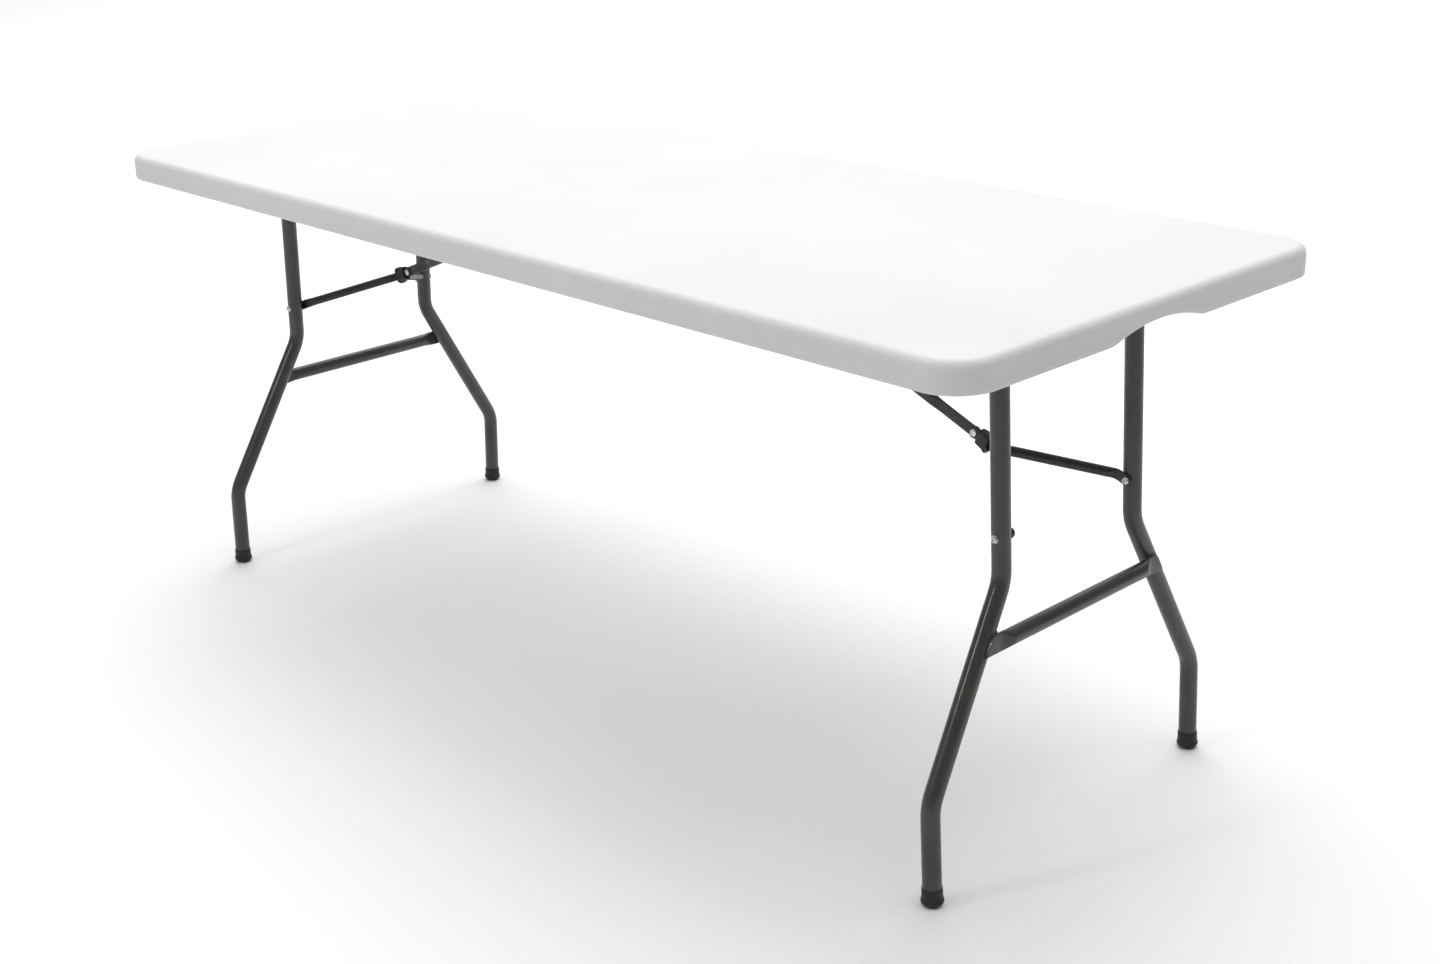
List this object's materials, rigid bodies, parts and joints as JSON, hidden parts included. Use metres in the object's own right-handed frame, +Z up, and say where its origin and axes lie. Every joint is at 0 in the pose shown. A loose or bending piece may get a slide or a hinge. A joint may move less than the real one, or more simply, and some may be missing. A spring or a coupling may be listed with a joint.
{
  "type": "folding table",
  "caption": "Rectangular folding table with a one-piece white blow-moulded plastic top and bent steel leg frames that fold flat under it on braces with sliding lock rings.",
  "frame": {"origin": "on the floor under the middle of the table", "axes": "+X along the length, +Y across the width, +Z up; the two ends mirror each other in X"},
  "size_m": [1.8, 0.74, 0.74],
  "materials": {
    "top_plastic": "fine-grained, slightly satin moulded polyethylene",
    "frame_steel": "semi-gloss dark grey powder coat",
    "black_plastic": "moulded black nylon",
    "foot_rubber": "satin black rubber",
    "zinc_steel": "bright zinc plate"
  },
  "bodies": {
    "table_top": {"tabletop": "top_plastic", "side_rail_front": "frame_steel", "side_rail_rear": "frame_steel", "pivot_bushes": "black_plastic", "rail_screws": "zinc_steel", "bracket_screws": "zinc_steel", "brace_bracket_right": "frame_steel", "brace_bracket_left": "frame_steel", "brace_pin_right": "zinc_steel", "brace_pin_left": "zinc_steel"},
    "leg_frame_right": {"pivot_tube_right": "frame_steel", "leg_front_right": "frame_steel", "leg_rear_right": "frame_steel", "crossbar_right": "frame_steel", "foot_cap_front_right": "foot_rubber", "foot_cap_rear_right": "foot_rubber", "leg_bolt_front_right": "zinc_steel", "leg_nut_rear_right": "black_plastic"},
    "upper_brace_right": {"brace_stem_right": "frame_steel"},
    "lower_brace_right": {"yoke_arm_front_right": "frame_steel", "yoke_arm_rear_right": "frame_steel", "yoke_nut_front_right": "black_plastic", "yoke_bolt_rear_right": "zinc_steel", "hinge_bolt_right": "zinc_steel", "hinge_nut_right": "zinc_steel"},
    "ring_right": {"lock_ring_right": "black_plastic"},
    "leg_frame_left": {"pivot_tube_left": "frame_steel", "leg_front_left": "frame_steel", "leg_rear_left": "frame_steel", "crossbar_left": "frame_steel", "foot_cap_front_left": "foot_rubber", "foot_cap_rear_left": "foot_rubber", "leg_bolt_front_left": "zinc_steel", "leg_nut_rear_left": "black_plastic"},
    "upper_brace_left": {"brace_stem_left": "frame_steel"},
    "lower_brace_left": {"yoke_arm_front_left": "frame_steel", "yoke_arm_rear_left": "frame_steel", "yoke_nut_front_left": "black_plastic", "yoke_bolt_rear_left": "zinc_steel", "hinge_bolt_left": "zinc_steel", "hinge_nut_left": "zinc_steel"},
    "ring_left": {"lock_ring_left": "black_plastic"}
  },
  "joints": [
    {"name": "leg_fold_right", "type": "hinge", "parent": "table_top", "child": "leg_frame_right", "pos_m": [0.7686, 0, 0.712], "axis": [0, 1, 0], "range_deg": [0, 92.85]},
    {"name": "brace_swing_right", "type": "hinge", "parent": "table_top", "child": "upper_brace_right", "pos_m": [0.118, 0, 0.717], "axis": [0, -1, 0], "range_deg": [0, 22.41]},
    {"name": "brace_hinge_right", "type": "hinge", "parent": "upper_brace_right", "child": "lower_brace_right", "pos_m": [0.62774, 0, 0.50891], "axis": [0, 1, 0], "range_deg": [0, 177.82]},
    {"name": "lock_ring_slide_right", "type": "slide", "parent": "upper_brace_right", "child": "ring_right", "axis": [-0.9258, 0, 0.3779], "range_m": [0, 0.2701]},
    {"name": "leg_fold_left", "type": "hinge", "parent": "table_top", "child": "leg_frame_left", "pos_m": [-0.7686, 0, 0.712], "axis": [0, -1, 0], "range_deg": [0, 92.85]},
    {"name": "brace_swing_left", "type": "hinge", "parent": "table_top", "child": "upper_brace_left", "pos_m": [-0.118, 0, 0.717], "axis": [0, 1, 0], "range_deg": [0, 22.41]},
    {"name": "brace_hinge_left", "type": "hinge", "parent": "upper_brace_left", "child": "lower_brace_left", "pos_m": [-0.62774, 0, 0.50891], "axis": [0, -1, 0], "range_deg": [0, 177.82]},
    {"name": "lock_ring_slide_left", "type": "slide", "parent": "upper_brace_left", "child": "ring_left", "axis": [0.9258, 0, 0.3779], "range_m": [0, 0.2701]}
  ],
  "couplings": [
    {"joint": "brace_swing_right", "follows": "leg_fold_right", "ratio": 0.24132},
    {"joint": "brace_hinge_right", "follows": "leg_fold_right", "ratio": 1.9151},
    {"joint": "lock_ring_slide_right", "follows": "leg_fold_right", "m_per_rad": 0.16661},
    {"joint": "brace_swing_left", "follows": "leg_fold_left", "ratio": 0.24132},
    {"joint": "brace_hinge_left", "follows": "leg_fold_left", "ratio": 1.9151},
    {"joint": "lock_ring_slide_left", "follows": "leg_fold_left", "m_per_rad": 0.16661}
  ]
}
